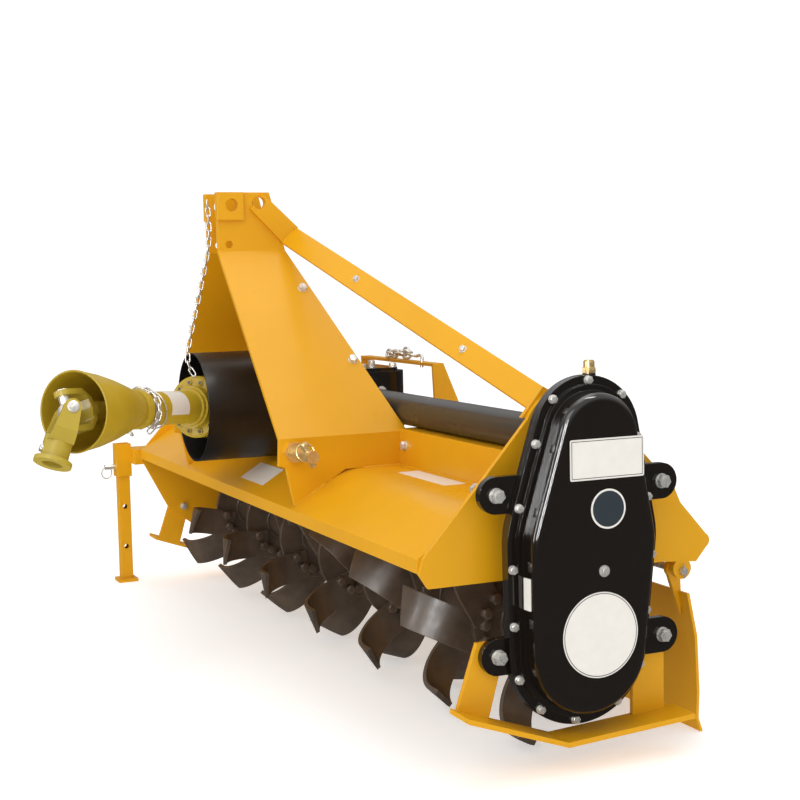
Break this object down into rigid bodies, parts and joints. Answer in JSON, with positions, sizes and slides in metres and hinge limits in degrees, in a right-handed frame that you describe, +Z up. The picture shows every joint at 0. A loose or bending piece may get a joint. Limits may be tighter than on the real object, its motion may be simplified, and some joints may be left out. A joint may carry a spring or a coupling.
{
  "type": "gear-driven rotary tiller",
  "caption": "Three-point-hitch rotary tiller with a shaft-driven tined rotor, side gear case, A-frame hitch, skids, tailboard, parking stand and jointed driveline.",
  "frame": {"origin": "on the ground, under the middle of the machine's outer box, as it is parked", "axes": "+Z up, -Y towards the tractor, +X towards the side with the gear case"},
  "size_m": [1.802, 0.9688, 0.92],
  "materials": {
    "paint_yellow": "golden yellow gloss enamel",
    "paint_black": "black gloss enamel",
    "tube_grey": "dark grey semi-gloss paint",
    "tine_dark": "dark brown-black dip paint",
    "guard_olive": "olive yellow moulded plastic",
    "yoke_khaki": "khaki painted casting",
    "zinc": "bright zinc plate",
    "brass": "plain brass"
  },
  "bodies": {
    "machine": {"brace_left": "paint_yellow", "brace_right": "paint_yellow", "cover_plug": "zinc", "cross_tube": "tube_grey", "deck": "paint_yellow", "deck_beam": "paint_yellow", "gearbox": "paint_black", "gearcase_cover": "paint_black", "gearcase_housing": "paint_black", "guard_bell": "guard_olive", "guard_cone": "guard_olive", "hinge_rod": "zinc", "hitch_panel_left": "paint_yellow", "hitch_panel_right": "paint_yellow", "lower_pin_left": "zinc", "lower_pin_right": "zinc", "mast_guard": "paint_yellow", "pto_shield": "paint_black", "rear_bracket": "paint_yellow", "rotor_bearing": "paint_black", "side_plate_left": "paint_yellow", "side_plate_right": "paint_yellow", "skid_left": "paint_yellow", "skid_right": "paint_yellow", "stand_pin": "zinc", "stand_sleeve": "paint_yellow", "support_chain": "zinc", "tailboard_chain": "zinc", "vent_plug": "brass"},
    "input": {"input_shaft": "yoke_khaki"},
    "driveline": {"drive_shaft": "yoke_khaki", "inner_yoke": "yoke_khaki"},
    "joint_cross_body": {"joint_cross": "zinc"},
    "tractor_yoke": {"outer_yoke": "yoke_khaki"},
    "rotor": {"rotor_shaft": "paint_black", "tines_left_hand": "tine_dark", "tines_right_hand": "tine_dark"},
    "tailboard_body": {"tailboard": "paint_yellow"},
    "stand": {"stand_leg": "paint_yellow"}
  },
  "joints": [
    {"name": "rotor_spin", "type": "hinge", "parent": "machine", "child": "rotor", "pos_m": [0, 0.20943, 0.18896], "axis": [1, 0, 0], "continuous": true},
    {"name": "input_spin", "type": "hinge", "parent": "machine", "child": "input", "pos_m": [-0.092, 0.03343, 0.498], "axis": [0, -1, 0], "continuous": true},
    {"name": "driveline_spin", "type": "hinge", "parent": "machine", "child": "driveline", "pos_m": [-0.092, -0.07657, 0.498], "axis": [0.6412, -0.7642, 0.0698], "continuous": true},
    {"name": "yoke_turn", "type": "hinge", "parent": "driveline", "child": "joint_cross_body", "pos_m": [0.19398, -0.41739, 0.52911], "axis": [-0.2983, -0.1645, 0.9402], "range_deg": [0, 71.26]},
    {"name": "yoke_swing", "type": "hinge", "parent": "joint_cross_body", "child": "tractor_yoke", "pos_m": [0.19398, -0.41739, 0.52911], "axis": [-0.9482, -0.0617, -0.3116], "range_deg": [0, 117.34]},
    {"name": "tailboard_hinge", "type": "hinge", "parent": "machine", "child": "tailboard_body", "pos_m": [0, 0.43143, 0.27], "axis": [1, 0, 0], "range_deg": [0, 60]},
    {"name": "stand_slide", "type": "slide", "parent": "machine", "child": "stand", "axis": [0, 0, 1], "range_m": [0, 0.2]}
  ],
  "couplings": [
    {"joint": "input_spin", "follows": "rotor_spin", "ratio": 2.6},
    {"joint": "driveline_spin", "follows": "rotor_spin", "ratio": 2.6}
  ]
}
